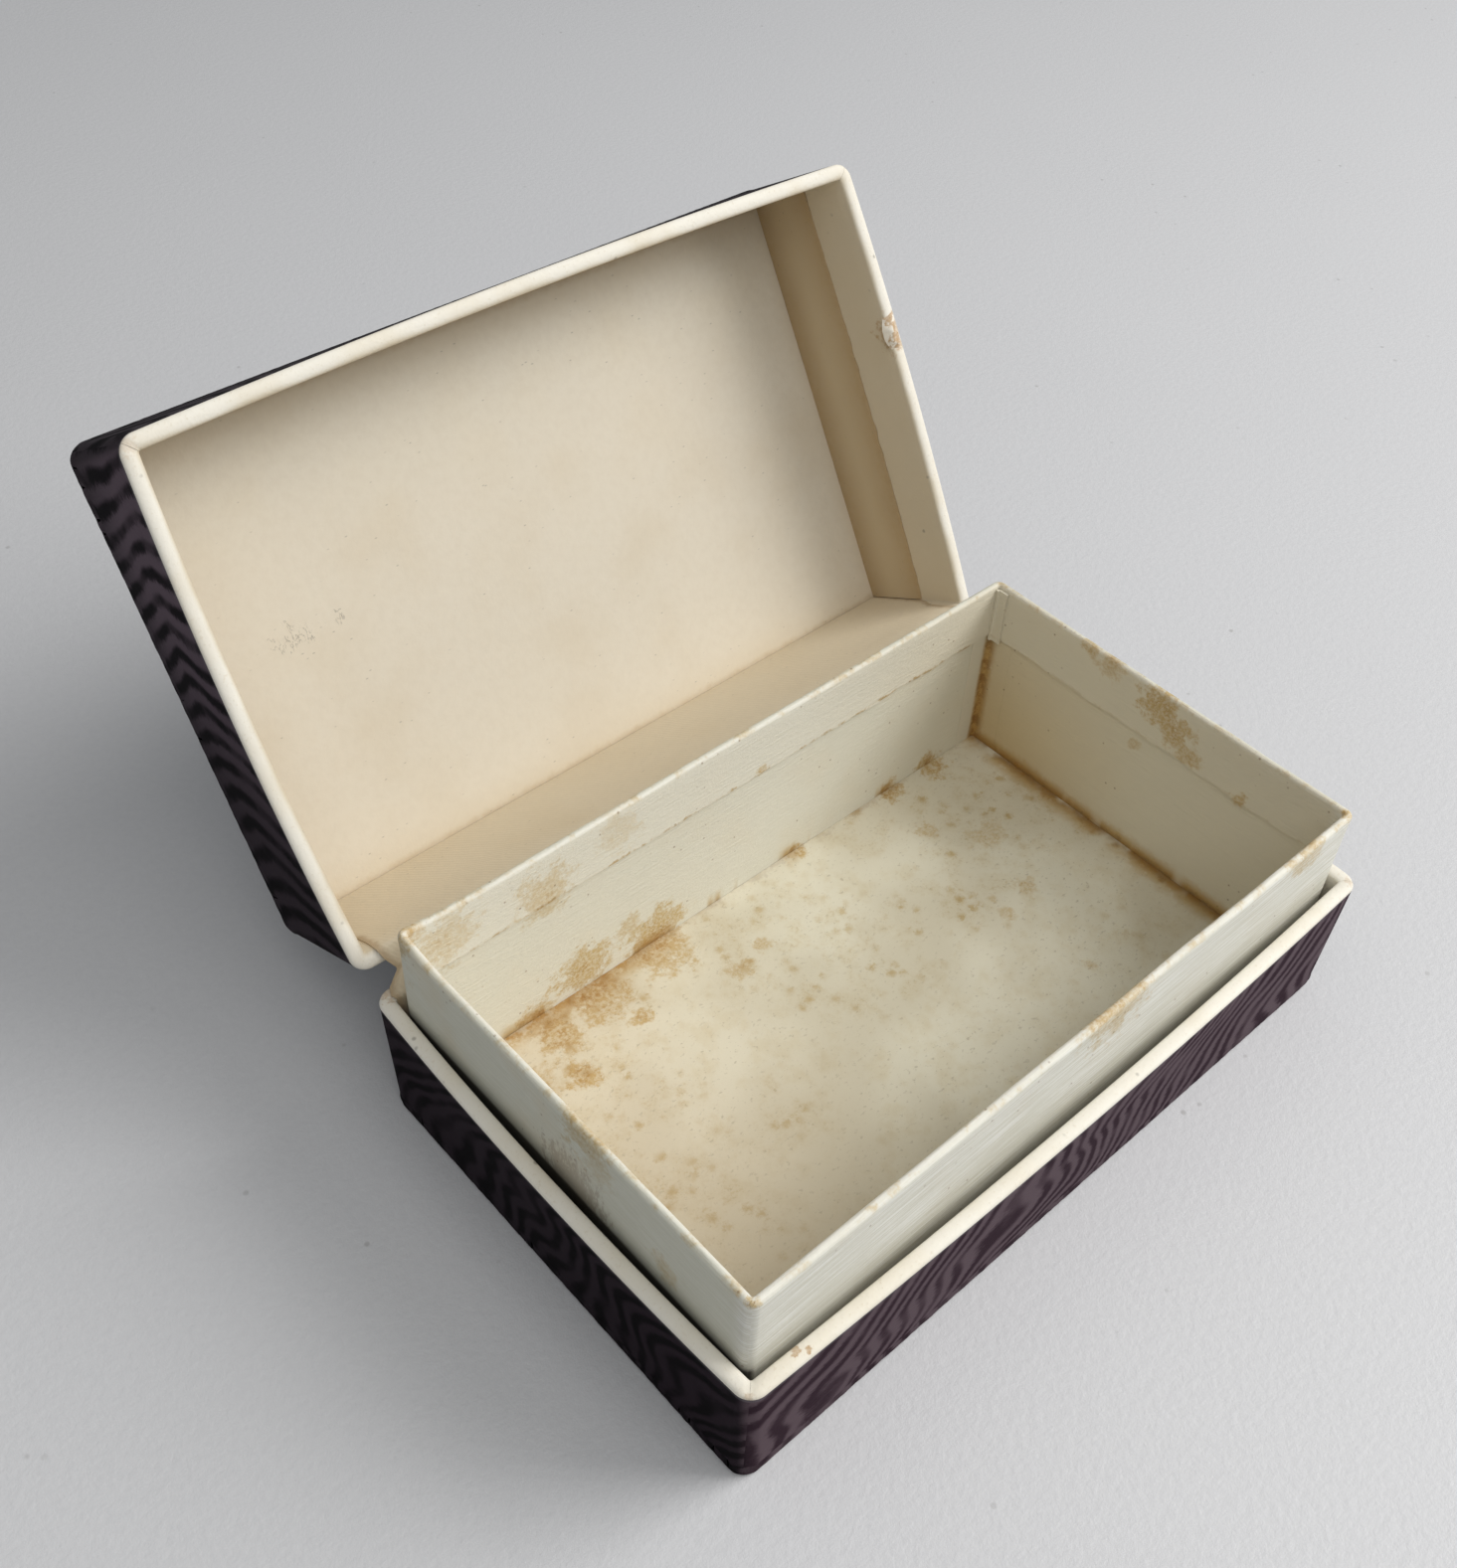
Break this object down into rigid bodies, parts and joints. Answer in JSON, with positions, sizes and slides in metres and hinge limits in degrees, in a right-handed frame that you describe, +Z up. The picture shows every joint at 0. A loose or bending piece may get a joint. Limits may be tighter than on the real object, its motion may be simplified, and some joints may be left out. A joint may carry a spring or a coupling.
{
  "type": "hinged presentation box",
  "caption": "Small rectangular rigid paper box with a raised inner neck and a deep lid on a folded paper hinge, shown open.",
  "frame": {"origin": "centre of the underside of the base, on the face that it rests on", "axes": "+X along the box, +Y from the opening front edge towards the hinge, +Z up out of the compartment; the lid stands open at rest"},
  "size_m": [0.1032, 0.1145, 0.0752],
  "materials": {
    "moire_paper": "satin",
    "cream_paper": "matte",
    "aged_neck_paper": "matte",
    "chipboard": "matte",
    "kraft_stay": "matte",
    "underside_paper": "matte"
  },
  "bodies": {
    "base": {"base_board": "chipboard", "base_corner_stay_back_left": "kraft_stay", "base_corner_stay_back_right": "kraft_stay", "base_corner_stay_front_left": "kraft_stay", "base_corner_stay_front_right": "kraft_stay", "base_rim_strip_back": "cream_paper", "base_rim_strip_front": "cream_paper", "base_rim_strip_left": "cream_paper", "base_rim_strip_right": "cream_paper", "base_side_wrap": "moire_paper", "base_underside_sheet": "underside_paper", "compartment_floor_card": "aged_neck_paper", "hinge_paper_base_leaf": "cream_paper", "neck_board": "aged_neck_paper", "neck_joint_tape": "aged_neck_paper", "neck_wrap": "aged_neck_paper"},
    "lid": {"hinge_paper_lid_leaf": "cream_paper", "lid_board": "chipboard", "lid_corner_stay_back_left": "kraft_stay", "lid_corner_stay_back_right": "kraft_stay", "lid_corner_stay_front_left": "kraft_stay", "lid_corner_stay_front_right": "kraft_stay", "lid_panel_lining": "cream_paper", "lid_rim_strip_back": "cream_paper", "lid_rim_strip_front": "cream_paper", "lid_rim_strip_left": "cream_paper", "lid_rim_strip_right": "cream_paper", "lid_side_wrap": "moire_paper", "lid_top_sheet": "moire_paper", "lid_wall_lining": "cream_paper"}
  },
  "joints": [
    {"name": "lid_hinge", "type": "hinge", "parent": "base", "child": "lid", "pos_m": [0, 0.0327, 0.01957], "axis": [1, 0, 0], "range_deg": [0, 120.4]}
  ]
}
